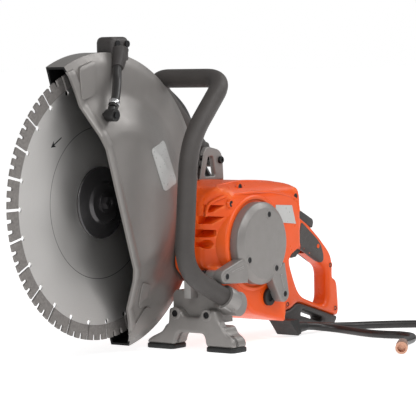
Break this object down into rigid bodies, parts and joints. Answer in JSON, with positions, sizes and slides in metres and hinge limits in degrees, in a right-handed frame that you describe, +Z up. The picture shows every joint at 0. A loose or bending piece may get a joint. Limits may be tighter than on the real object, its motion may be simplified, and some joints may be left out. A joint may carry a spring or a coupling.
{
  "type": "concrete cut-off saw",
  "caption": "Hand-held electric cut-off saw for concrete with a diamond blade, swivelling guard, looped front handle, rear D handle, stand, power cable and water hose.",
  "frame": {"origin": "on the ground under the middle of the machine's box, measured without the power cable, the water hose and what is on them", "axes": "+X forward towards the blade, +Y to the machine's left, +Z up"},
  "size_m": [0.819, 0.5099, 0.468],
  "materials": {
    "cast_magnesium": "satin silver-grey lacquer on cast magnesium",
    "guard_casting": "satin silver-grey lacquer on cast magnesium, black inside",
    "blade_steel": "radially brushed steel",
    "segment_metal": "sintered diamond segment, sandy",
    "flange_steel": "blackened turned steel",
    "bright_steel": "ground steel",
    "black_steel": "black oxide",
    "pulley_metal": "turned aluminium",
    "orange_plastic": "fine-textured orange moulding",
    "dark_plastic": "fine-textured dark grey moulding",
    "black_plastic": "fine-textured black moulding",
    "grip_rubber": "soft dark grey rubber",
    "black_rubber": "black rubber",
    "hose_rubber": "smooth black rubber hose",
    "label_film": "silver film, blank",
    "copper": "copper-coloured fitting",
    "winding_copper": "enamelled copper wire",
    "laminations": "stacked steel sheets",
    "circuit_board": "coated circuit board"
  },
  "bodies": {
    "machine": {"arm_housing": "cast_magnesium", "spindle_bearings": "bright_steel", "motor_bearings": "bright_steel", "belt_guard": "dark_plastic", "drive_belt": "black_rubber", "motor_casing": "orange_plastic", "stator_core": "laminations", "stator_windings": "winding_copper", "side_cover": "cast_magnesium", "side_cover_screws": "black_steel", "name_plate": "label_film", "casing_screws": "black_steel", "handle_tube": "black_steel", "handle_sleeve": "grip_rubber", "handle_end_fitting": "cast_magnesium", "handle_frame": "cast_magnesium", "upper_bracket": "cast_magnesium", "frame_bolts": "black_steel", "upper_damper": "black_steel", "lower_spring": "black_steel", "spring_seat": "cast_magnesium", "rubber_stop": "black_rubber", "stand": "cast_magnesium", "stand_pads": "black_rubber", "rear_handle_left": "orange_plastic", "rear_handle_right": "orange_plastic", "grip_inlays": "grip_rubber", "handle_bumper": "dark_plastic", "handle_pins": "bright_steel", "trigger_switch": "black_plastic", "control_board": "circuit_board", "cable_inlet": "black_rubber", "feed_hose": "hose_rubber", "power_cable": "hose_rubber", "power_cable_coil": "hose_rubber", "cable_tie": "black_plastic", "cable_plug": "dark_plastic", "water_hose": "hose_rubber", "hose_coupling": "copper"},
    "blade": {"blade_core": "blade_steel", "blade_segments": "segment_metal", "outer_flange": "flange_steel", "inner_flange": "flange_steel", "blade_bolt": "flange_steel", "spindle": "bright_steel", "spindle_pulley": "pulley_metal"},
    "rotor": {"motor_shaft": "bright_steel", "rotor_core": "laminations", "motor_pulley": "pulley_metal", "cooling_fan": "dark_plastic"},
    "guard": {"guard_shell": "guard_casting", "guard_grip": "dark_plastic", "guard_screws": "black_steel", "guard_hose": "hose_rubber", "hose_clamp": "bright_steel", "hose_elbow": "black_plastic", "water_nozzles": "black_plastic"},
    "trigger": {"trigger": "dark_plastic"},
    "lockout": {"lockout_lever": "dark_plastic"}
  },
  "joints": [
    {"name": "blade_spin", "type": "hinge", "parent": "machine", "child": "blade", "pos_m": [0.15249, -0.03625, 0.225], "axis": [0, 1, 0], "continuous": true},
    {"name": "rotor_spin", "type": "hinge", "parent": "machine", "child": "rotor", "pos_m": [-0.07049, -0.03625, 0.15405], "axis": [0, 1, 0], "continuous": true},
    {"name": "guard_tilt", "type": "hinge", "parent": "machine", "child": "guard", "pos_m": [0.15249, -0.03625, 0.225], "axis": [0, 1, 0], "range_deg": [-20, 40], "deforming": ["feed_hose"]},
    {"name": "trigger_pull", "type": "hinge", "parent": "machine", "child": "trigger", "pos_m": [-0.26949, 0.02575, 0.13805], "axis": [0, 1, 0], "range_deg": [-10, 0], "stiffness_Nm_per_rad": 1.5, "springref_deg": 8.59},
    {"name": "lockout_press", "type": "hinge", "parent": "machine", "child": "lockout", "pos_m": [-0.24649, 0.02575, 0.16605], "axis": [0, 1, 0], "range_deg": [-8, 0], "stiffness_Nm_per_rad": 1.5, "springref_deg": 8.59}
  ],
  "couplings": [
    {"joint": "rotor_spin", "follows": "blade_spin", "ratio": 1.5}
  ]
}
